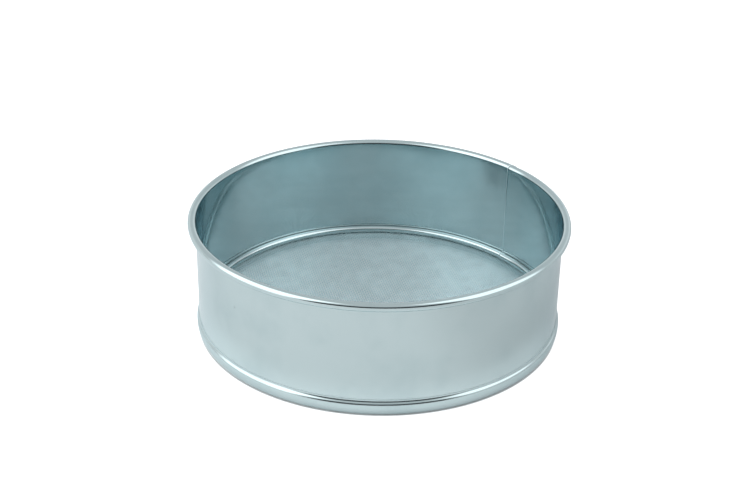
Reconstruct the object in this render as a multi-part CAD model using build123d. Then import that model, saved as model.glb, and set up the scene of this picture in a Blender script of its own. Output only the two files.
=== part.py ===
"""Round laboratory sieve, in millimetres: a rolled sheet-steel frame, woven wire cloth and a clamp hoop.

The frame is one strip of sheet, bent to a hoop and closed by a lap seam. Its upper edge is rolled outwards
and its lower edge inwards. The cloth is drawn over the lower roll with its brim turned up outside the
frame, and the clamp hoop, a folded channel, is pressed over that brim. The sieve stands on the hoop's web.
The origin is on the axis in the plane that the sieve stands on, and +Z points up.
"""

import os
from math import cos, degrees, dist, radians, sin

from build123d import *

# Frame: a strip of sheet with both edges rolled.
INNER_DIAMETER = 200.0
HEIGHT = 66.0
SHEET = 0.5
RIM_ROLL = 4.7  # outer diameter of the outward roll at the top
RIM_ROLL_TURN = 310.0  # degrees that the rim's sheet turns through
LOWER_ROLL = 4.2  # outer diameter of the inward roll over the cloth
LOWER_ROLL_TURN = 310.0

# Lap seam of the frame: the inner layer ends at SEAM_ANGLE, the outer one a lap further on.
SEAM_ANGLE = 41.0  # degrees from +X about +Z
SEAM_LAP = 3.0
SEAM_STEP = 0.25  # height of each free edge after the seam is pressed
SEAM_FADE = 11.0  # length over which a layer runs back into the round
SEAM_ROLL_STEP = 0.15  # height of the lap where it goes round the rolls
SEAM_SINK = 0.2  # depth that a layer is let into the sheet it is welded to
SEAM_END = 0.02  # depth at which a layer's thin end runs out

# Wire cloth, square plain weave.
APERTURE = 0.94
WIRE = 0.38
CLOTH_ANGLE = 12.8  # degrees from +X to the wires of the lower side
WIRES_PER_RIDGE = 6  # the wall carries one ridge for so many wires
CLOTH_WEB = 0.24  # thickness of the wall between the ridges
RIDGE_RELIEF = 0.01  # how far the ridges stay below the faces of the brim
RIDGES_PER_GAP = 2  # the wall has one square opening for so many ridges each way
GAP_SHARE = 0.715  # side of an opening, as a share of the distance from one to the next
STAND_OFF = 4.1  # from the bench to the underside of the cloth
BRIM = 0.15  # height of the cloth's brim above the middle of the lower roll

# Clamp hoop: a channel folded from a strip, its lip drawn thin and laid on the frame in an S.
HOOP_SHEET = 0.5
HOOP_LIP_EDGE = 0.06  # thickness at the edge of the lip
HOOP_LIP_RISE = 1.8  # from the brim up to the edge of the lip
HOOP_LIP_TURN = 52.0  # degrees that the lip's face turns outwards and back again
HOOP_LIP_RADIUS = 1.5  # of the hollow where the lip leaves the frame
HOOP_CROWN_RADIUS = 8.0  # of the outer leg's lower half
HOOP_CROWN_TURN = 25.0
HOOP_FOOT_RADIUS = 1.8  # outside radius of the bend below the outer leg
HOOP_HEEL_RADIUS = 0.6  # outside radius of the bend below the inner leg
HOOP_LEG_OFFSET = 0.1  # inner leg's inner face, outwards from the middle of the lower roll

SEAT_GAP = 0.02  # clearance between parts that are pressed together
BEND_FLATS = 4  # the hoop's bends and the brim's are worked in so many short flats
SAME_POINT = 1e-6

RIDGE_PITCH = WIRES_PER_RIDGE * (APERTURE + WIRE)
RIDGE_WIDTH = WIRES_PER_RIDGE * WIRE
CLOTH = 2 * WIRE
RIDGE = (CLOTH - CLOTH_WEB) / 2 - RIDGE_RELIEF
FRAME_INSIDE = INNER_DIAMETER / 2
FRAME_OUTSIDE = FRAME_INSIDE + SHEET
CLOTH_TOP = STAND_OFF + CLOTH
RIM_CENTRE = (FRAME_INSIDE + RIM_ROLL / 2, HEIGHT - RIM_ROLL / 2)
HALF_FLAT = radians(90 / BEND_FLATS / 2)
BRIM_INSIDE = (LOWER_ROLL / 2 + SEAT_GAP) / cos(HALF_FLAT)  # so that the brim's flats clear the roll
ROLL_CENTRE = (FRAME_OUTSIDE - LOWER_ROLL / 2, CLOTH_TOP + BRIM_INSIDE)
RIDGED_RADIUS = ROLL_CENTRE[0] - WIRE  # the ridges end below the middle of the roll
HOOP_INSIDE = ROLL_CENTRE[0] + BRIM_INSIDE + CLOTH + SEAT_GAP
HOOP_OUTSIDE = HOOP_INSIDE + HOOP_SHEET
HOOP_SEAT = FRAME_OUTSIDE + SEAT_GAP
HOOP_BEND_HEIGHT = ROLL_CENTRE[1] + BRIM + SEAT_GAP  # where the hoop's inner face turns in over the brim
HOOP_HEIGHT = HOOP_BEND_HEIGHT + HOOP_LIP_RISE
LIP_RADII = (HOOP_OUTSIDE - HOOP_SEAT - HOOP_LIP_EDGE) / (1 - cos(radians(HOOP_LIP_TURN)))


def polar(radius, angle):
    """Point of a plane at a radius and an angle in degrees."""
    return (radius * cos(radians(angle)), radius * sin(radians(angle)))


def bend_faces(bends, inset):
    """Points on a folded strip's face, through bends of (centre, outside radius, start, sweep) in degrees."""
    points = []
    for centre, radius, start, sweep in bends:
        for flat in range(BEND_FLATS + 1):
            x, y = polar(radius - inset, start + sweep * flat / BEND_FLATS)
            point = (centre[0] + x, centre[1] + y)
            if not points or dist(point, points[-1]) > SAME_POINT:
                points.append(point)
    return points


def full_turn(section):
    """Solid of revolution about the axis of the sieve, from a section drawn as radius and height."""
    return revolve(Plane.XZ * section, Axis.Z, 360)


def seam_layer(face_radius, step):
    """Plan of one layer of the lap, from its free edge at angle 0; step is negative towards the axis."""
    inward = 1 if step > 0 else -1
    lap = degrees(SEAM_LAP / face_radius)
    fade = degrees(SEAM_FADE / face_radius)
    raised = face_radius + step
    run_out_end = face_radius - inward * SEAM_END
    sunk = face_radius - inward * SEAM_SINK
    free_edge = Line(polar(sunk, 0), polar(raised, 0))
    top = CenterArc((0, 0), raised, 0, lap)
    run_out = ThreePointArc(
        polar(raised, lap),
        polar((raised + run_out_end) / 2, lap + fade / 2),
        polar(run_out_end, lap + fade),
    )
    end = Line(polar(run_out_end, lap + fade), polar(sunk, lap + fade))
    back = CenterArc((0, 0), sunk, lap + fade, -(lap + fade))
    return make_face(Curve(children=[free_edge, top, run_out, end, back]).edges())


def seam():
    """The two layers of the lap on the wall, and their thickening of the rim's roll."""
    lap = degrees(SEAM_LAP / FRAME_INSIDE)
    wall_low = ROLL_CENTRE[1] + LOWER_ROLL / 2
    wall_high = RIM_CENTRE[1]
    above_hoop = HOOP_HEIGHT + SEAT_GAP
    inner = extrude(seam_layer(FRAME_INSIDE, -SEAM_STEP), wall_high - wall_low)
    outer = mirror(extrude(seam_layer(FRAME_OUTSIDE, SEAM_STEP), wall_high - above_hoop), Plane.XZ)
    ring = Circle(RIM_ROLL / 2 + SEAM_ROLL_STEP) - Circle(RIM_ROLL / 2 - SHEET / 2)
    over = Rectangle(2 * RIM_ROLL, RIM_ROLL, align=(Align.CENTER, Align.MIN))
    rim = revolve(Plane.XZ * Pos(*RIM_CENTRE) * (ring & over), Axis.Z, lap)
    return [
        Rot(0, 0, SEAM_ANGLE) * Pos(0, 0, wall_low) * inner,
        Rot(0, 0, SEAM_ANGLE + lap) * Pos(0, 0, above_hoop) * outer,
        Rot(0, 0, SEAM_ANGLE) * rim,
    ]


def frame_shell():
    """Wall, rim roll and lower roll in one strip, closed by its seam."""
    middle = SHEET / 2
    rim = CenterArc(RIM_CENTRE, RIM_ROLL / 2 - middle, 180, -RIM_ROLL_TURN)
    wall_line = FRAME_INSIDE + middle
    wall = Line((wall_line, ROLL_CENTRE[1]), (wall_line, RIM_CENTRE[1]))
    roll = CenterArc(ROLL_CENTRE, LOWER_ROLL / 2 - middle, 0, -LOWER_ROLL_TURN)
    shell = full_turn(trace(Curve(children=[roll, wall, rim]), line_width=SHEET))
    for layer in seam():
        shell += layer
    return shell


def weave_mould():
    """What is cut from one face of the cloth's wall to leave the ridges, which run along Y."""
    rows = int(RIDGED_RADIUS / RIDGE_PITCH)
    length = 2 * (RIDGED_RADIUS + RIDGE_PITCH)
    low = CLOTH_WEB / 2
    outline = [(-length / 2, CLOTH), (-length / 2, low)]
    for row in range(-rows, rows + 1):
        x = row * RIDGE_PITCH
        outline += [(x - RIDGE_WIDTH / 2, low), (x, low + RIDGE), (x + RIDGE_WIDTH / 2, low)]
    outline += [(length / 2, low), (length / 2, CLOTH)]
    profile = make_face(Polyline(*outline, close=True).edges())
    block = Pos(0, length / 2, 0) * extrude(Plane.XZ * profile, length)
    return block & Cylinder(RIDGED_RADIUS, 4 * CLOTH)


def through_gaps(reach):
    """Square prisms for the wall's openings, with a ridge along each bar between them, trimmed at a radius."""
    pitch = RIDGES_PER_GAP * RIDGE_PITCH
    side = GAP_SHARE * pitch
    rows = int(reach / pitch) + 1
    steps = [pitch * (row + 0.5) for row in range(-rows, rows)]
    inside = [(x, y) for x in steps for y in steps if (x * x + y * y) ** 0.5 < reach - side / 4]
    trim = Cylinder(reach, 4 * CLOTH)
    return [trim & (Pos(x, y, 0) * Box(side, side, 2 * CLOTH)) for x, y in inside]


def wire_cloth():
    """Wall with the weave's ridges on both faces, its plain edge bent up round the frame's lower roll."""
    bend_height = BRIM_INSIDE + CLOTH / 2
    outside = ROLL_CENTRE[0] + BRIM_INSIDE + CLOTH
    bends = [((ROLL_CENTRE[0], bend_height), BRIM_INSIDE + CLOTH, -90, 90)]
    brim_top = bend_height + BRIM
    outline = [(0, -CLOTH / 2), *bend_faces(bends, 0), (outside, brim_top), (outside - CLOTH, brim_top)]
    outline += [*reversed(bend_faces(bends, CLOTH)), (0, CLOTH / 2)]
    wall = full_turn(make_face(Polyline(*outline, close=True).edges()))
    upper = weave_mould()
    lower = Rot(0, 0, 90) * Rot(180, 0, 0) * upper
    gaps = through_gaps(ROLL_CENTRE[0] - LOWER_ROLL / 2)
    return Pos(0, 0, STAND_OFF + CLOTH / 2) * Rot(0, 0, CLOTH_ANGLE) * (wall - upper - lower - gaps)


def hoop_channel():
    """Bends of the hoop's channel, from the crowned outer leg down and in to the inner leg."""
    crown, foot, heel = HOOP_CROWN_RADIUS, HOOP_FOOT_RADIUS, HOOP_HEEL_RADIUS
    x, y = polar(crown - foot, -HOOP_CROWN_TURN)
    return [
        ((HOOP_OUTSIDE - crown, foot - y), crown, 0, -HOOP_CROWN_TURN),
        ((HOOP_OUTSIDE - crown + x, foot), foot, -HOOP_CROWN_TURN, HOOP_CROWN_TURN - 90),
        ((ROLL_CENTRE[0] + HOOP_LEG_OFFSET + heel, heel), heel, -90, -90),
    ]


def clamp_hoop():
    """Channel that grips the brim: outer leg with an S-shaped lip, web to stand on, short inner leg."""
    leg = ROLL_CENTRE[0] + HOOP_LEG_OFFSET
    leg_top = STAND_OFF - SEAT_GAP
    shoulder = LIP_RADII - HOOP_LIP_RADIUS
    hollow_centre = (HOOP_SEAT + HOOP_LIP_EDGE + HOOP_LIP_RADIUS, HOOP_HEIGHT)
    shoulder_centre = (HOOP_OUTSIDE - shoulder, HOOP_HEIGHT - LIP_RADII * sin(radians(HOOP_LIP_TURN)))
    lip = [
        (hollow_centre, HOOP_LIP_RADIUS, 180, HOOP_LIP_TURN),
        (shoulder_centre, shoulder, HOOP_LIP_TURN, -HOOP_LIP_TURN),
    ]
    over_brim = [((HOOP_SEAT, HOOP_BEND_HEIGHT), HOOP_INSIDE - HOOP_SEAT, 90, -90)]
    outline = [*bend_faces(lip + hoop_channel(), 0), (leg, leg_top), (leg + HOOP_SHEET, leg_top)]
    outline += reversed(bend_faces(over_brim, 0) + bend_faces(hoop_channel(), HOOP_SHEET))
    outline.append((HOOP_SEAT, HOOP_HEIGHT))
    return full_turn(make_face(Polyline(*outline, close=True).edges()))


def main():
    os.makedirs("parts", exist_ok=True)
    export_step(frame_shell(), "parts/frame_shell.step")
    export_step(wire_cloth(), "parts/wire_cloth.step")
    export_step(clamp_hoop(), "parts/clamp_hoop.step")


main()
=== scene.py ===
"""Laboratory sieve: rolled steel frame, woven wire cloth and clamp hoop, on a white table."""

from math import cos, degrees, hypot, pi, radians, sin

import bpy
from mathutils import Matrix, Vector


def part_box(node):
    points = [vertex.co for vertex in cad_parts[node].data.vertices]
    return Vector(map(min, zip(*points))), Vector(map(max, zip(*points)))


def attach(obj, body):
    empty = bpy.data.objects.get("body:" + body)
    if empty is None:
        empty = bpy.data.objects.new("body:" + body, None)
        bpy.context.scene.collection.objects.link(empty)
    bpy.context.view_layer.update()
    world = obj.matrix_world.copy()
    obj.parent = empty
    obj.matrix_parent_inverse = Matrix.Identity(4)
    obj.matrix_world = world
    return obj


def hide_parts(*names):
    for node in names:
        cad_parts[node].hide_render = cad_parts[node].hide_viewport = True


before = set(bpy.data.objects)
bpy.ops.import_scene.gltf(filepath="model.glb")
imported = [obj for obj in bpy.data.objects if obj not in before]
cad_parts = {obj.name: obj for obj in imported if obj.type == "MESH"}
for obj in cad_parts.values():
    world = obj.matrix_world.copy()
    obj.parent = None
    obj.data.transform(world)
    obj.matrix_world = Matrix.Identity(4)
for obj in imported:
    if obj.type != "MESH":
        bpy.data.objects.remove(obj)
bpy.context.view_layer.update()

MM = 0.001

# Frame sheet, as in the CAD.
FRAME_INSIDE = 100.0 * MM
SHEET = 0.5 * MM
RIM_ROLL = 4.7 * MM
RIM_ROLL_TURN = 310.0  # degrees
LOWER_ROLL = 4.2 * MM
LOWER_ROLL_TURN = 310.0
RIM_TOP = 66.0 * MM
SEAM_ANGLE = 41.0  # degrees from +X about +Z
SEAM_LAP = 3.0 * MM
SEAM_FADE = 11.0 * MM  # past the lap, over which each layer comes back to the round
SEAM_OFFSET = 0.24 * MM  # how far each layer of the lap stands off the round

# Cloth.
APERTURE = 0.94 * MM
WIRE = 0.38 * MM
PITCH = APERTURE + WIRE
CLOTH_ANGLE = 12.8  # degrees from +X to the weft
CLOTH_EDGE = 98.95 * MM  # the flat cloth runs to here, over the hoop's inner leg
WIRE_SIDES = 5

# Hoop. Its lip is a hollow beside the frame and a shoulder outside it.
HOOP_SHEET = 0.5 * MM
HOOP_INSIDE = 101.34 * MM
HOOP_BEND_HEIGHT = 5.9 * MM  # where the inner face turns in below the lip
HOOP_LIP_EDGE = 0.06 * MM  # thickness at the edge of the lip
HOOP_LIP_TURN = 42.0
HOOP_LIP_RADIUS = 2.4 * MM  # of the hollow
HOOP_CROWN_RADIUS = 5.2 * MM  # of the outer leg's lower half
HOOP_CROWN_TURN = 50.0
HOOP_FOOT_RADIUS = 1.0 * MM
HOOP_HEEL_RADIUS = 0.6 * MM
HOOP_LEG = 98.5 * MM  # inner face of the inner leg
SEAT_GAP = 0.02 * MM

# How finely round things are divided.
AROUND_STEPS = 330
FADE_STEPS = 10
ROLL_STEPS = 30
BEND_STEPS = 8
WALL_STEPS = 10
LAP_STEPS = 2

# Edges: how far they are softened, and the angles past which they stay crisp.
EDGE_SOFTNESS = 0.08 * MM
SOFTENED_EDGE = radians(50)
SHEET_CREASE = radians(40)
WIRE_CREASE = radians(80)

# Steels. A pair gives the values where a mask begins and where it is full.
STEEL = (0.50, 0.60, 0.615)
DULL_STEEL = (0.44, 0.545, 0.565)
SEAM_STEEL = (0.27, 0.33, 0.35)
# Weld line: a lighter colour that is a painted highlight, the light a raised weld bead would catch.
WELD_HIGHLIGHT_STEEL = (0.78, 0.86, 0.88)
WIRE_STEEL = (0.64, 0.82, 0.86)
DULL_WIRE = (0.55, 0.72, 0.76)
EDGE_TINT = (0.94, 0.98, 1.0)
WALL_ROUGHNESS = 0.17
INSIDE_ROUGHNESS = 0.075
ROLL_ROUGHNESS = 0.12
WIRE_ROUGHNESS = 0.33
WALL_SKIN = (0.1002, 0.1004)  # from the axis: inside the sheet, so only the outer face is satin
RIM_CURL = (0.1014, 0.101)  # where the satin ends under the rim's roll
ROLL_TOP = (0.009, 0.0095)  # height at which the lower roll's finish gives way to the wall's
CREVICE_DEPTH = (0.0987, 0.0991)  # the lower roll's far side, turned to the wall
CREVICE_TOP = (0.0097, 0.0090)

# Rolling lines: how many in a metre, and how much longer than wide.
SHEET_LINES = (2600.0, 60.0)
STRIP_LINES = (3200.0, 45.0)
LINE_DETAIL = 3.0

# Slow waves left by rolling, and how deep waves and lines may stand.
SHEET_WAVES = (24.0, 1.5)
STRIP_WAVES = (30.0, 1.5)
SHEET_RELIEF = 0.06 * MM
STRIP_RELIEF = 0.05 * MM
WIRE_TONES = (120.0, 3.0)
WIRE_TONE_LEVELS = (0.3, 0.7)

# Marks of handling, as noise: how many in a metre, levels of detail, strength of the fine ones.
SMUDGES = (38.0, 4.0, 0.6)
SMUDGE_LEVELS = (0.42, 0.72)
HAIRLINES = (900.0, 1.0)
HAIRLINE_TURN = (0.5, 0.9, 0.3)
HAIRLINE_STRETCH = (1.0, 1.0, 0.045)
HAIRLINE_LEVELS = (0.69, 0.74)
HAIRLINE_PATCHES = 55.0
HAIRLINE_PATCH_LEVELS = (0.55, 0.66)
SPECKS_PER_M = 70.0
SPECK_SIZE = (0.055, 0.03)
SPECK_PATCHES = 31.0
SPECK_PATCH_LEVELS = (0.5, 0.6)

# How much each mark dulls the colour, roughens the finish and stands up or cuts in.
SHEET_SPREAD = 1.0
SMUDGE_TINT = 0.6
SPECK_TINT = 0.45
SMUDGE_HAZE = 0.05
LINE_HAZE = 0.03
STAIN_HAZE = 0.2
CREVICE_HAZE = 0.35
WELD_HAZE = 0.35
LINE_RELIEF = 0.006
SCRATCH_RELIEF = -0.02
STRIP_SPREAD = 0.8
STRIP_SMUDGE_TINT = 0.8
STRIP_SMUDGE_HAZE = 0.06
STRIP_LINE_HAZE = 0.04
STRIP_LINE_RELIEF = 0.01
WIRE_SPREAD = 1.0
WIRE_SMUDGE_HAZE = 0.08

# Heat stain past the seam: middle along the round and in height, half-sizes, and ragged edge.
HEAT_MARK = (0.010, 0.056)
HEAT_MARK_SIZE = (0.012, 0.011)
HEAT_MARK_EDGE = (160.0, 3.0)
HEAT_MARK_RAGGED = 0.7
HEAT_MARK_LEVELS = (1.45, 0.5)
HEAT_MARK_DEPTH = 0.5
# Weld line past the seam. It is painted lighter as a highlight, and its added roughness is the
# weld's own.
WELD_AND_HIGHLIGHT_MIDDLE = 0.2 * MM  # past the seam
WELD_AND_HIGHLIGHT_WIDTH = (0.00045, 0.00025)

# Table: its surface, and the glow that makes it white to the eye and in the steel.
TABLE_SIZE = 40.0
TABLE_DROP = 0.2 * MM  # below the hoop's foot
TABLE_WHITE = (0.8, 0.8, 0.8, 1)
TABLE_ROUGHNESS = 0.7
TABLE_SHEEN = 0.2
TABLE_GLOW = 0.75
TABLE_GLOW_START = (0.1007, 0.1013)  # from the axis, just outside the hoop's foot
MIRRORED_GLOW = 0.22
MIRRORED_GLOW_RIGHT = 0.04
MIRRORED_START = (0.0975, 0.1)
RIGHT_FALL = (0.03, 0.14)
NEAR_GLOW = 0.18
NEAR_START = (0.1005, 0.111)
NEAR_END = (0.135, 0.112)
NEAR_FRONT = (0.0, -0.06)
COVERED_GLOW = 0.16
COVERED_END = (0.097, 0.0955)

# Lamps: name, place, width, height and radiance.
LAMPS = (
    ("left_box", (-0.80, -0.26, 0.58), 1.6, 1.6, 1.4),
    ("right_box", (0.72, -0.20, 0.66), 1.3, 1.4, 1.1),
)
LAMP_AIM = (0, 0, 0.03)
LAMP_EDGE = 0.5
LAMP_CORE = 0.25  # share of the width from the middle that is at full strength

# Room: its colours, and the directions between which one gives way to the other.
ROOM = (0.74, 0.75, 0.76)
ROOM_RIGHT = (0.25, 0.26, 0.27)
ROOM_DARK = (0.03, 0.035, 0.04)
ROOM_WHITE = (1.0, 1.0, 1.0)
DARK_BELOW = (0.65, 0.3)
DARK_TOWARDS = (-0.5, -0.82)
RIGHT_SIDE = (-0.4, 0.7)
WHITE_BELOW = (0.45, 0.2)
WHITE_BEHIND = (0.2, 0.6)

# Camera.
FOCAL_SHARE = 1403.4 / 750  # focal length as a share of the picture's width
SENSOR = 36.0
CAMERA_DISTANCE = 785.8 * MM
CAMERA_TILT = 27.128
CAMERA_ROLL = 0.946
CAMERA_SIDE = -2.16 * MM
CAMERA_RISE = 10.98 * MM
LOOK_HEIGHT = 30 * MM

# Heights and radii that follow from these and from the CAD.
shell_low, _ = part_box("frame_shell")
cloth_low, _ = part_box("wire_cloth")
_, hoop_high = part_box("clamp_hoop")
FRAME_MIDDLE = FRAME_INSIDE + SHEET / 2
FRAME_OUTSIDE = FRAME_INSIDE + SHEET
CLOTH_MIDDLE = cloth_low[2] + WIRE
RIM_CENTRE = (FRAME_INSIDE + RIM_ROLL / 2, RIM_TOP - RIM_ROLL / 2)
ROLL_CENTRE = (FRAME_OUTSIDE - LOWER_ROLL / 2, shell_low[2] + LOWER_ROLL / 2)


def polar(radius, degrees_):
    """Point of a plane at a radius and an angle in degrees."""
    return (radius * cos(radians(degrees_)), radius * sin(radians(degrees_)))


def arc(centre, radius, start, sweep, steps):
    """Points of an arc in the section plane, in degrees."""
    turned = [polar(radius, start + sweep * step / steps) for step in range(steps + 1)]
    return [(centre[0] + x, centre[1] + y) for x, y in turned]


def straight(start, end, steps):
    """Points between start and end, without the ends."""
    shares = [step / steps for step in range(1, steps)]
    return [tuple(a + (b - a) * share for a, b in zip(start, end)) for share in shares]


# ---------------------------------------------------------------- modelling


def edit(piece):
    """Select only this piece and open it in edit mode."""
    bpy.ops.object.select_all(action="DESELECT")
    piece.select_set(True)
    bpy.context.view_layer.objects.active = piece
    bpy.ops.object.mode_set(mode="EDIT")


def close_edit():
    """Back to object mode."""
    bpy.ops.object.mode_set(mode="OBJECT")


def modify(piece, kind, **settings):
    """Add one modifier and apply it."""
    bpy.ops.object.select_all(action="DESELECT")
    piece.select_set(True)
    bpy.context.view_layer.objects.active = piece
    modifier = piece.modifiers.new(kind.lower(), kind)
    for key, value in settings.items():
        setattr(modifier, key, value)
    bpy.ops.object.modifier_apply(modifier=modifier.name)


def drawn_profile(name, section, azimuth):
    """Open line of vertices through a section's (radius, height) points, standing at an azimuth."""
    places = [Vector((*polar(r, azimuth), z)) for r, z in section]
    bpy.ops.object.select_all(action="DESELECT")
    bpy.ops.mesh.primitive_circle_add(vertices=3, radius=MM, location=places[0])
    piece = bpy.context.object
    piece.name = name
    bpy.ops.object.transform_apply(location=True, rotation=True, scale=True)
    bpy.ops.object.mode_set(mode="EDIT")
    bpy.ops.mesh.merge(type="CENTER")
    for before, after in zip(places, places[1:]):
        bpy.ops.mesh.extrude_region_move(TRANSFORM_OT_translate={"value": after - before})
    bpy.ops.mesh.select_all(action="SELECT")
    return piece


def spin(degrees_, steps):
    """Carry the selected profile round the axis."""
    bpy.ops.mesh.spin(steps=steps, angle=radians(degrees_), center=(0, 0, 0), axis=(0, 0, 1))


def swell(factor):
    """Move the selected profile in or out from the axis."""
    bpy.ops.transform.resize(value=(factor, factor, 1), center_override=(0, 0, 0))


def spin_fade(turn, offsets):
    """Spin on by a turn in small steps, while the profile goes through offsets from the round."""
    for before, after in zip(offsets, offsets[1:]):
        spin(turn / FADE_STEPS, 1)
        swell((FRAME_MIDDLE + after) / (FRAME_MIDDLE + before))


def finish_sheet(piece, thickness):
    """Give a spun middle surface its thickness, softened edges and smooth shading."""
    bpy.ops.mesh.select_all(action="SELECT")
    bpy.ops.mesh.normals_make_consistent(inside=False)
    close_edit()
    modify(piece, "SOLIDIFY", thickness=thickness, offset=0, use_even_offset=True)
    modify(piece, "BEVEL", width=EDGE_SOFTNESS, segments=2, limit_method="ANGLE",
           angle_limit=SOFTENED_EDGE)
    bpy.ops.object.shade_smooth_by_angle(angle=SHEET_CREASE)


def make_frame():
    """One strip, rolled at both edges, whose ends lap at the seam."""
    middle = SHEET / 2
    lower_radius = LOWER_ROLL / 2 - middle
    lower_roll = arc(ROLL_CENTRE, lower_radius, -LOWER_ROLL_TURN, LOWER_ROLL_TURN, ROLL_STEPS)
    rim = arc(RIM_CENTRE, RIM_ROLL / 2 - middle, 180, -RIM_ROLL_TURN, ROLL_STEPS)
    section = lower_roll + straight(lower_roll[-1], rim[0], WALL_STEPS) + rim
    lap = degrees(SEAM_LAP / FRAME_MIDDLE)
    fade = degrees(SEAM_FADE / FRAME_MIDDLE)
    shares = [0.5 - 0.5 * cos(pi * step / FADE_STEPS) for step in range(FADE_STEPS + 1)]
    piece = drawn_profile("frame", section, SEAM_ANGLE)
    swell(1 - SEAM_OFFSET / FRAME_MIDDLE)
    spin(lap, LAP_STEPS)
    spin_fade(fade, [SEAM_OFFSET * (share - 1) for share in shares])
    spin(360 - lap - 2 * fade, AROUND_STEPS)
    spin_fade(fade, [SEAM_OFFSET * share for share in shares])
    spin(lap, LAP_STEPS)
    finish_sheet(piece, SHEET)
    return piece


def hoop_channel(inset):
    """Outer leg, crowned below, foot and heel of the hoop, on its outside or one sheet in."""
    crown, foot, heel = HOOP_CROWN_RADIUS, HOOP_FOOT_RADIUS, HOOP_HEEL_RADIUS
    x, z = polar(crown - foot, -HOOP_CROWN_TURN)
    edge = hoop_high[0] - crown
    points = arc((edge, foot - z), crown - inset, 0, -HOOP_CROWN_TURN, BEND_STEPS)
    bend = HOOP_CROWN_TURN - 90
    points += arc((edge + x, foot), foot - inset, -HOOP_CROWN_TURN, bend, BEND_STEPS)[1:]
    return points + arc((HOOP_LEG + heel, heel), heel - inset, -90, -90, BEND_STEPS // 2)


def make_hoop():
    """Channel hoop: S-shaped lip, crowned outer leg, web to stand on and short inner leg."""
    seat = FRAME_OUTSIDE + SEAT_GAP
    top = hoop_high[2]
    radii = (hoop_high[0] - seat - HOOP_LIP_EDGE) / (1 - cos(radians(HOOP_LIP_TURN)))
    shoulder = radii - HOOP_LIP_RADIUS
    hollow_centre = (seat + HOOP_LIP_EDGE + HOOP_LIP_RADIUS, top)
    shoulder_centre = (hoop_high[0] - shoulder, top - radii * sin(radians(HOOP_LIP_TURN)))
    leg_top = cloth_low[2] - SEAT_GAP
    section = arc(hollow_centre, HOOP_LIP_RADIUS, 180, HOOP_LIP_TURN, BEND_STEPS)
    section += arc(shoulder_centre, shoulder, HOOP_LIP_TURN, -HOOP_LIP_TURN, BEND_STEPS)[1:]
    section += hoop_channel(0) + [(HOOP_LEG, leg_top), (HOOP_LEG + HOOP_SHEET, leg_top)]
    section += reversed(hoop_channel(HOOP_SHEET))
    section += arc((seat, HOOP_BEND_HEIGHT), HOOP_INSIDE - seat, 0, 90, BEND_STEPS)
    section += [(seat, top), section[0]]
    piece = drawn_profile("hoop", section, 0)
    spin(360, AROUND_STEPS)
    bpy.ops.mesh.select_all(action="SELECT")
    bpy.ops.mesh.remove_doubles(threshold=MM / 1000)
    bpy.ops.mesh.normals_make_consistent(inside=False)
    close_edit()
    bpy.ops.object.shade_smooth_by_angle(angle=SHEET_CREASE)
    return piece


def make_wires(name, turn, shift):
    """One set of the cloth's wires, each going over and under the other set."""
    half = WIRE / 2
    bpy.ops.object.select_all(action="DESELECT")
    upright = (0, pi / 2, 0)
    bpy.ops.mesh.primitive_circle_add(vertices=WIRE_SIDES, radius=half, rotation=upright)
    piece = bpy.context.object
    piece.name = name
    bpy.ops.transform.translate(value=(0, 0, half))
    bpy.ops.object.transform_apply(location=True, rotation=True, scale=True)
    bpy.ops.object.mode_set(mode="EDIT")
    for rise in (-WIRE, WIRE):
        bpy.ops.mesh.extrude_region_move(TRANSFORM_OT_translate={"value": (PITCH, 0, rise)})
    bpy.ops.mesh.select_all(action="SELECT")
    bpy.ops.mesh.duplicate_move(TRANSFORM_OT_translate={"value": (PITCH, PITCH, 0)})
    close_edit()
    rows = int(CLOTH_EDGE / PITCH) + 2
    for step in ((2 * PITCH, 0, 0), (0, 2 * PITCH, 0)):
        modify(piece, "ARRAY", count=rows, use_relative_offset=False, use_constant_offset=True,
               constant_offset_displace=step, use_merge_vertices=True, merge_threshold=half / 10)
    edit(piece)
    bpy.ops.mesh.select_all(action="SELECT")
    start = 2 * PITCH * (rows // 2)
    bpy.ops.transform.translate(value=(shift - start, -start, CLOTH_MIDDLE))
    close_edit()
    piece.data.transform(Matrix.Rotation(radians(CLOTH_ANGLE + turn), 4, "Z"))
    trim_round(piece, CLOTH_EDGE)
    edit(piece)
    bpy.ops.mesh.select_all(action="SELECT")
    bpy.ops.mesh.fill_holes(sides=WIRE_SIDES)
    bpy.ops.mesh.normals_make_consistent(inside=False)
    close_edit()
    bpy.ops.object.shade_smooth_by_angle(angle=WIRE_CREASE)
    return piece


def trim_round(piece, radius):
    """Take away what lies outside a radius."""
    edit(piece)
    bpy.ops.mesh.select_mode(type="VERT")
    bpy.ops.mesh.select_all(action="DESELECT")
    close_edit()
    for vertex in piece.data.vertices:
        vertex.select = hypot(vertex.co.x, vertex.co.y) > radius
    edit(piece)
    bpy.ops.mesh.delete(type="VERT")
    close_edit()


# ---------------------------------------------------------------- materials


def add(tree, kind, settings=None, **inputs):
    """Add a node with its settings and its inputs, by number or name: values or sockets to link."""
    node = tree.nodes.new(kind)
    for key, value in (settings or {}).items():
        setattr(node, key, value)
    for key, value in inputs.items():
        feed(tree, node.inputs[int(key[1:]) if key[0] == "_" else key.replace("_", " ")], value)
    return node


def feed(tree, socket, value):
    """Link a socket to another one, or set its value."""
    if isinstance(value, bpy.types.NodeSocket):
        tree.links.new(value, socket)
    else:
        socket.default_value = value


def maths(tree, operation, first, second=0.0):
    """One step of arithmetic on values or sockets."""
    return add(tree, "ShaderNodeMath", {"operation": operation}, _0=first, _1=second).outputs[0]


def times(tree, first, second):
    return maths(tree, "MULTIPLY", first, second)


def with_masks(tree, base, *masks):
    """A base value plus masks, each times its amount."""
    for mask, amount in masks:
        base = maths(tree, "ADD", base, times(tree, mask, amount))
    return base


def hypotenuse(tree, first, second):
    """Length of a vector from two of its parts."""
    squares = maths(tree, "ADD", times(tree, first, first), times(tree, second, second))
    return maths(tree, "SQRT", squares)


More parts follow.
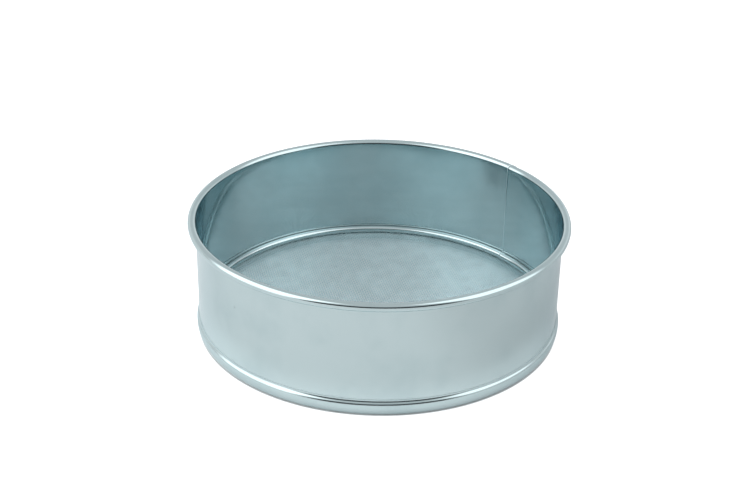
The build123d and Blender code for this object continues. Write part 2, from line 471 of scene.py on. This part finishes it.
def ramp(tree, value, low, high, to_low=0.0, to_high=1.0):
    """Smooth step of a value from low to high."""
    node = add(tree, "ShaderNodeMapRange", {"interpolation_type": "SMOOTHSTEP"}, Value=value)
    limits = {"From Min": low, "From Max": high, "To Min": to_low, "To Max": to_high}
    for key, number in limits.items():
        node.inputs[key].default_value = number
    return node.outputs[0]


def noise(tree, vector, scale, detail=2.0, roughness=0.5):
    """Soft noise: cells in a metre, levels of detail and how strong the fine ones are."""
    node = add(tree, "ShaderNodeTexNoise", Vector=vector, Scale=scale, Detail=detail,
               Roughness=roughness)
    return node.outputs["Fac"]


def blend_colours(tree, share, first, second):
    """Mix of two colours, each a socket or red, green and blue."""
    node = add(tree, "ShaderNodeMix", {"data_type": "RGBA"}, _0=share)
    for number, colour in ((6, first), (7, second)):
        solid = isinstance(colour, tuple)
        feed(tree, node.inputs[number], (*colour, 1) if solid else colour)
    return node.outputs[2]


def new_group(name, inputs, outputs):
    """Empty node group with float sockets, and its two end nodes."""
    tree = bpy.data.node_groups.new(name, "ShaderNodeTree")
    for socket in inputs:
        tree.interface.new_socket(name=socket, in_out="INPUT", socket_type="NodeSocketFloat")
    for socket in outputs:
        tree.interface.new_socket(name=socket, in_out="OUTPUT", socket_type="NodeSocketFloat")
    return tree, tree.nodes.new("NodeGroupInput"), tree.nodes.new("NodeGroupOutput")


def make_round_group():
    """Place on the round: metres along it at the frame's radius, height, distance from the axis."""
    tree, _, result = new_group("round_place", [], ["Along", "Height", "Radius"])
    place = add(tree, "ShaderNodeTexCoord").outputs["Object"]
    parts = add(tree, "ShaderNodeSeparateXYZ", Vector=place).outputs
    angle = maths(tree, "ARCTAN2", parts["Y"], parts["X"])
    tree.links.new(times(tree, angle, FRAME_MIDDLE), result.inputs["Along"])
    tree.links.new(parts["Z"], result.inputs["Height"])
    tree.links.new(hypotenuse(tree, parts["X"], parts["Y"]), result.inputs["Radius"])
    return tree


def make_grain_group():
    """Fine lines that rolling leaves in strip, drawn out along it."""
    inputs = ["Along", "Height", "Lines per m", "Stretch"]
    tree, given, result = new_group("rolling_lines", inputs, ["Lines"])
    along = maths(tree, "DIVIDE", given.outputs["Along"], given.outputs["Stretch"])
    place = add(tree, "ShaderNodeCombineXYZ", X=along, Y=given.outputs["Height"]).outputs[0]
    lines = noise(tree, place, given.outputs["Lines per m"], LINE_DETAIL)
    tree.links.new(lines, result.inputs["Lines"])
    return tree


def make_handling_group():
    """Marks of handling: soft smudges, sparse hair scratches and small specks."""
    outputs = ["Smudges", "Scratches", "Specks"]
    tree, given, result = new_group("handling_marks", ["Spread"], outputs)
    place = add(tree, "ShaderNodeTexCoord").outputs["Object"]
    smudges = ramp(tree, noise(tree, place, *SMUDGES), *SMUDGE_LEVELS)
    turned = add(tree, "ShaderNodeMapping", Vector=place)
    turned.inputs["Rotation"].default_value = HAIRLINE_TURN
    turned.inputs["Scale"].default_value = HAIRLINE_STRETCH
    lines = ramp(tree, noise(tree, turned.outputs[0], *HAIRLINES), *HAIRLINE_LEVELS)
    patches = ramp(tree, noise(tree, place, HAIRLINE_PATCHES), *HAIRLINE_PATCH_LEVELS)
    scratches = times(tree, lines, patches)
    cells = add(tree, "ShaderNodeTexVoronoi", Vector=place, Scale=SPECKS_PER_M, Randomness=1.0)
    spots = ramp(tree, cells.outputs["Distance"], *SPECK_SIZE)
    patches = ramp(tree, noise(tree, place, SPECK_PATCHES), *SPECK_PATCH_LEVELS)
    specks = times(tree, spots, patches)
    for name, mask in zip(outputs, (smudges, scratches, specks)):
        tree.links.new(times(tree, mask, given.outputs["Spread"]), result.inputs[name])
    return tree


def place_group(tree, group_tree, **inputs):
    """Place a shared group in a material, with this material's own values."""
    return add(tree, "ShaderNodeGroup", {"node_tree": group_tree}, **inputs).outputs


def rolled_strip(tree, lines_and_stretch, spread):
    """Place on the round, rolling lines and marks of handling, as every rolled piece has them."""
    spot = place_group(tree, round_place)
    lines = place_group(tree, rolling_lines, Along=spot["Along"], Height=spot["Height"],
                        Lines_per_m=lines_and_stretch[0], Stretch=lines_and_stretch[1])["Lines"]
    return spot, lines, place_group(tree, handling_marks, Spread=spread)


def new_steel(name):
    """Material with a metal shader."""
    material = bpy.data.materials.new(name)
    material.use_nodes = True
    tree = material.node_tree
    shader = tree.nodes["Principled BSDF"]
    shader.inputs["Metallic"].default_value = 1
    shader.inputs["Specular Tint"].default_value = (*EDGE_TINT, 1)
    return material, tree, shader


def set_bump(tree, shader, height, distance):
    """Stand a height map up from the surface."""
    bump = add(tree, "ShaderNodeBump", Height=height, Strength=1.0, Distance=distance)
    tree.links.new(bump.outputs[0], shader.inputs["Normal"])


def heat_stain(tree, past_seam, height, place):
    """Ragged mask of the stain that welding leaves beside the seam."""
    across = maths(tree, "SUBTRACT", past_seam, HEAT_MARK[0])
    upwards = maths(tree, "SUBTRACT", height, HEAT_MARK[1])
    far = hypotenuse(tree, maths(tree, "DIVIDE", across, HEAT_MARK_SIZE[0]),
                     maths(tree, "DIVIDE", upwards, HEAT_MARK_SIZE[1]))
    ragged = with_masks(tree, far, (noise(tree, place, *HEAT_MARK_EDGE), HEAT_MARK_RAGGED))
    return times(tree, ramp(tree, ragged, *HEAT_MARK_LEVELS), HEAT_MARK_DEPTH)


def make_sheet_steel():
    """The frame's sheet: glossier inside, satin on its outer wall, heat-stained beside the seam,
    with a painted highlight along the weld.
    """
    material, tree, shader = new_steel("frame_sheet")
    spot, lines, marks = rolled_strip(tree, SHEET_LINES, SHEET_SPREAD)
    place = add(tree, "ShaderNodeTexCoord").outputs["Object"]
    past_seam = maths(tree, "SUBTRACT", spot["Along"], radians(SEAM_ANGLE) * FRAME_MIDDLE)
    stain = heat_stain(tree, past_seam, spot["Height"], place)
    from_weld = maths(tree, "ABSOLUTE", maths(tree, "SUBTRACT", past_seam, WELD_AND_HIGHLIGHT_MIDDLE))
    weld_and_highlight = ramp(tree, from_weld, *WELD_AND_HIGHLIGHT_WIDTH)
    colour = blend_colours(tree, times(tree, marks["Smudges"], SMUDGE_TINT), STEEL, DULL_STEEL)
    colour = blend_colours(tree, stain, colour, SEAM_STEEL)
    colour = blend_colours(tree, times(tree, marks["Specks"], SPECK_TINT), colour, SEAM_STEEL)
    # Painted highlight: the weld line is made lighter in colour, for the light a raised bead would
    # catch.
    colour = blend_colours(tree, weld_and_highlight, colour, WELD_HIGHLIGHT_STEEL)
    tree.links.new(colour, shader.inputs["Base Color"])
    crevice = times(tree, ramp(tree, spot["Radius"], *CREVICE_DEPTH),
                    ramp(tree, spot["Height"], *CREVICE_TOP))
    on_wall = times(tree, ramp(tree, spot["Radius"], *WALL_SKIN),
                    ramp(tree, spot["Radius"], *RIM_CURL))
    inside = ramp(tree, spot["Height"], *ROLL_TOP, ROLL_ROUGHNESS, INSIDE_ROUGHNESS)
    finish = with_masks(
        tree, inside, (on_wall, WALL_ROUGHNESS - INSIDE_ROUGHNESS),
        (marks["Smudges"], SMUDGE_HAZE), (lines, LINE_HAZE), (stain, STAIN_HAZE),
        (crevice, CREVICE_HAZE), (weld_and_highlight, WELD_HAZE))
    tree.links.new(finish, shader.inputs["Roughness"])
    waves = noise(tree, place, *SHEET_WAVES)
    height = with_masks(tree, waves, (lines, LINE_RELIEF),
                        (marks["Scratches"], SCRATCH_RELIEF))
    set_bump(tree, shader, height, SHEET_RELIEF)
    return material


def make_strip_steel():
    """The hoop's bright strip."""
    material, tree, shader = new_steel("hoop_strip")
    _, lines, marks = rolled_strip(tree, STRIP_LINES, STRIP_SPREAD)
    smudged = times(tree, marks["Smudges"], STRIP_SMUDGE_TINT)
    colour = blend_colours(tree, smudged, STEEL, DULL_STEEL)
    tree.links.new(colour, shader.inputs["Base Color"])
    roll = times(tree, marks["Smudges"], STRIP_SMUDGE_HAZE)
    finish = with_masks(tree, maths(tree, "ADD", roll, ROLL_ROUGHNESS), (lines, STRIP_LINE_HAZE))
    tree.links.new(finish, shader.inputs["Roughness"])
    place = add(tree, "ShaderNodeTexCoord").outputs["Object"]
    height = with_masks(tree, noise(tree, place, *STRIP_WAVES), (lines, STRIP_LINE_RELIEF))
    set_bump(tree, shader, height, STRIP_RELIEF)
    return material


def make_wire_steel():
    """Drawn wire, duller and a little uneven from wire to wire."""
    material, tree, shader = new_steel("drawn_wire")
    marks = place_group(tree, handling_marks, Spread=WIRE_SPREAD)
    place = add(tree, "ShaderNodeTexCoord").outputs["Object"]
    tone = ramp(tree, noise(tree, place, *WIRE_TONES), *WIRE_TONE_LEVELS)
    tree.links.new(blend_colours(tree, tone, WIRE_STEEL, DULL_WIRE), shader.inputs["Base Color"])
    finish = maths(tree, "ADD", times(tree, marks["Smudges"], WIRE_SMUDGE_HAZE), WIRE_ROUGHNESS)
    tree.links.new(finish, shader.inputs["Roughness"])
    return material


round_place = make_round_group()
rolling_lines = make_grain_group()
handling_marks = make_handling_group()

# ---------------------------------------------------------------- stage, lights and camera


def make_camera():
    """Camera above the table's front, looking down at the sieve."""
    tilt, roll = radians(CAMERA_TILT), radians(CAMERA_ROLL)
    forward = Vector((0, cos(tilt), -sin(tilt)))
    right = Vector((1, 0, 0))
    up = Vector((0, sin(tilt), cos(tilt)))
    place = Vector((0, 0, LOOK_HEIGHT)) - forward * CAMERA_DISTANCE
    place += right * CAMERA_SIDE + up * CAMERA_RISE
    across = right * cos(roll) + up * sin(roll)
    upward = up * cos(roll) - right * sin(roll)
    data = bpy.data.cameras.new("camera")
    data.sensor_width = SENSOR
    data.lens = SENSOR * FOCAL_SHARE
    camera = bpy.data.objects.new("camera", data)
    bpy.context.collection.objects.link(camera)
    turned = Matrix((across, upward, -forward)).transposed().to_4x4()
    camera.matrix_world = Matrix.Translation(place) @ turned
    bpy.context.scene.camera = camera


def make_floor():
    """White table. It glows white to the eye around the sieve, and more faintly in the steel:
    weaker to the right, stronger close in front of the foot, and by itself under the cloth."""
    bpy.ops.object.select_all(action="DESELECT")
    bpy.ops.mesh.primitive_plane_add(size=TABLE_SIZE, location=(0, 0, -TABLE_DROP))
    floor = bpy.context.object
    floor.name = "table"
    material = bpy.data.materials.new("white_table")
    material.use_nodes = True
    tree = material.node_tree
    shader = tree.nodes["Principled BSDF"]
    shader.inputs["Base Color"].default_value = TABLE_WHITE
    shader.inputs["Roughness"].default_value = TABLE_ROUGHNESS
    shader.inputs["Specular IOR Level"].default_value = TABLE_SHEEN
    place = add(tree, "ShaderNodeTexCoord").outputs["Object"]
    parts = add(tree, "ShaderNodeSeparateXYZ", Vector=place).outputs
    length = {"operation": "LENGTH"}
    away = add(tree, "ShaderNodeVectorMath", length, _0=place).outputs["Value"]
    path = add(tree, "ShaderNodeLightPath").outputs
    seen = path["Is Camera Ray"]
    mirrored = maths(tree, "MAXIMUM", path["Is Glossy Ray"], path["Is Transmission Ray"])
    seen_glow = times(tree, seen, ramp(tree, away, *TABLE_GLOW_START, 0, TABLE_GLOW))
    wide = ramp(tree, parts["X"], *RIGHT_FALL, MIRRORED_GLOW, MIRRORED_GLOW_RIGHT)
    near = times(tree, ramp(tree, away, *NEAR_END, 0, NEAR_GLOW), ramp(tree, away, *NEAR_START))
    near_front = times(tree, near, ramp(tree, parts["Y"], *NEAR_FRONT))
    outside = times(tree, maths(tree, "ADD", wide, near_front),
                    ramp(tree, away, *MIRRORED_START))
    under_cloth = times(tree, maths(tree, "MAXIMUM", mirrored, seen),
                        ramp(tree, away, *COVERED_END, 0, COVERED_GLOW))
    around = maths(tree, "ADD", seen_glow, times(tree, mirrored, outside))
    glow = add(tree, "ShaderNodeEmission", Strength=maths(tree, "ADD", around, under_cloth))
    both = add(tree, "ShaderNodeAddShader", _0=shader.outputs["BSDF"], _1=glow.outputs[0])
    tree.links.new(both.outputs[0], tree.nodes["Material Output"].inputs["Surface"])
    floor.data.materials.append(material)


def make_lamp(name, place, width, height, radiance):
    """Softbox whose light falls away towards its edges."""
    data = bpy.data.lights.new(name, "AREA")
    data.shape = "RECTANGLE"
    data.size, data.size_y = width, height
    data.energy = radiance * pi * width * height
    data.use_nodes = True
    tree = data.node_tree
    spot = add(tree, "ShaderNodeNewGeometry").outputs["Parametric"]
    subtract = {"operation": "SUBTRACT"}
    middle = add(tree, "ShaderNodeVectorMath", subtract, _0=spot, _1=(0.5, 0.5, 0)).outputs[0]
    parts = add(tree, "ShaderNodeSeparateXYZ", Vector=middle).outputs
    across = ramp(tree, maths(tree, "ABSOLUTE", parts["X"]), LAMP_EDGE, LAMP_CORE)
    upwards = ramp(tree, maths(tree, "ABSOLUTE", parts["Y"]), LAMP_EDGE, LAMP_CORE)
    tree.links.new(times(tree, across, upwards), tree.nodes["Emission"].inputs["Strength"])
    lamp = bpy.data.objects.new(name, data)
    bpy.context.collection.objects.link(lamp)
    lamp.location = place
    towards = Vector(LAMP_AIM) - Vector(place)
    lamp.rotation_euler = towards.to_track_quat("-Z", "Y").to_euler()


def make_world():
    """White to the camera. The steel sees white behind, grey all round and dark low in front."""
    world = bpy.data.worlds.new("studio")
    bpy.context.scene.world = world
    world.use_nodes = True
    tree = world.node_tree
    tree.nodes.clear()
    output = tree.nodes.new("ShaderNodeOutputWorld")
    facing = add(tree, "ShaderNodeTexCoord").outputs["Generated"]
    parts = add(tree, "ShaderNodeSeparateXYZ", Vector=facing).outputs
    low = ramp(tree, parts["Z"], *DARK_BELOW)
    near = ramp(tree, parts["Y"], *DARK_TOWARDS)
    path = add(tree, "ShaderNodeLightPath").outputs
    dim = times(tree, ramp(tree, parts["X"], *RIGHT_SIDE), path["Is Diffuse Ray"])
    room = blend_colours(tree, dim, ROOM, ROOM_RIGHT)
    room = blend_colours(tree, times(tree, low, near), room, ROOM_DARK)
    behind = times(tree, ramp(tree, parts["Z"], *WHITE_BELOW),
                   ramp(tree, parts["Y"], *WHITE_BEHIND))
    room = blend_colours(tree, behind, room, ROOM_WHITE)
    soft = add(tree, "ShaderNodeBackground", Color=room, Strength=1.0)
    white = add(tree, "ShaderNodeBackground", Color=(1, 1, 1, 1), Strength=1.0)
    mix = add(tree, "ShaderNodeMixShader", _0=path["Is Camera Ray"], _1=soft.outputs[0],
              _2=white.outputs[0])
    tree.links.new(mix.outputs[0], output.inputs["Surface"])


make_camera()
make_world()
make_floor()
for lamp in LAMPS:
    make_lamp(*lamp)

sheet = make_frame()
sheet.data.materials.append(make_sheet_steel())
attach(sheet, "root")
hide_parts("frame_shell")

hoop = make_hoop()
hoop.data.materials.append(make_strip_steel())
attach(hoop, "root")
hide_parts("clamp_hoop")

wire_finish = make_wire_steel()
for name, turn, shift in (("warp_wires", 90, 0), ("weft_wires", 0, PITCH)):
    wires = make_wires(name, turn, shift)
    wires.data.materials.append(wire_finish)
    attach(wires, "root")
    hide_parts("wire_cloth")

bpy.context.scene.view_settings.view_transform = "Standard"
bpy.context.scene.cycles.glossy_bounces = 8
